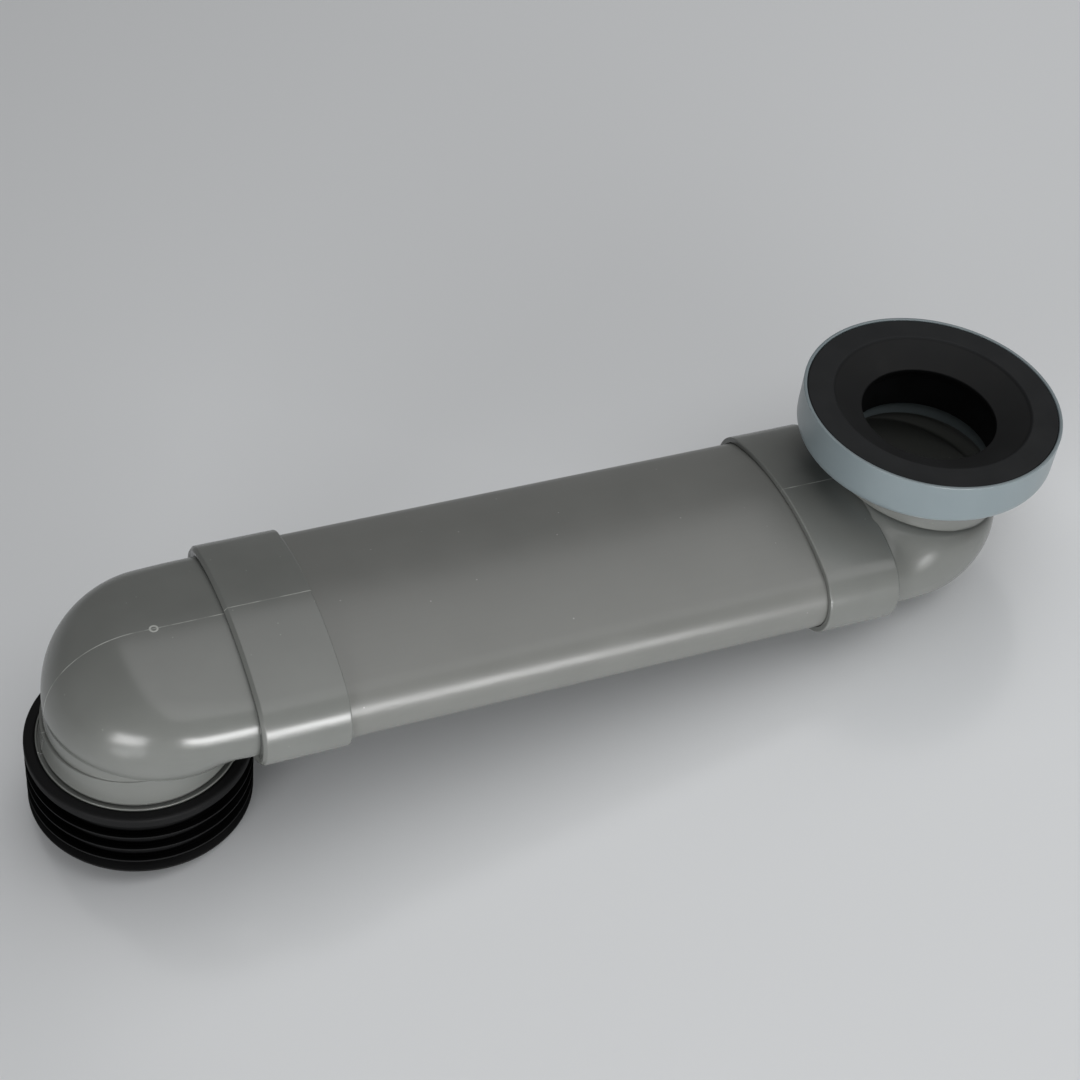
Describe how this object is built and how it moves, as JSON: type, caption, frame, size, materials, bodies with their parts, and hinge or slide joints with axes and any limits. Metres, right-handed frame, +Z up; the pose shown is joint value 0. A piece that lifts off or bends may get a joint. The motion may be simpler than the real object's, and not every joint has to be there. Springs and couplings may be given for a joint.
{
  "type": "toilet offset pipe",
  "caption": "Offset connector for a toilet drain: a flat oval pipe between two round-necked elbows, with a gasketed cup above and a finned seal below.",
  "frame": {"origin": "on the outlet's axis, at the lower end of the finned seal", "axes": "+Z up along both round axes, from the drain towards the toilet; +X along the flat pipe from the outlet to the inlet; Y across it"},
  "size_m": [0.543, 0.135, 0.1555],
  "materials": {
    "pipe_pvc": "satin extruded PVC",
    "fitting_pvc": "semi-gloss moulded PVC",
    "cup_pvc": "semi-gloss moulded PVC",
    "seal_rubber": "smooth moulded rubber"
  },
  "bodies": {
    "root": {"flat_pipe": "pipe_pvc", "outlet_elbow": "fitting_pvc", "outlet_seal": "seal_rubber", "inlet_elbow": "fitting_pvc", "inlet_cup": "cup_pvc", "inlet_gasket": "seal_rubber"}
  },
  "joints": []
}
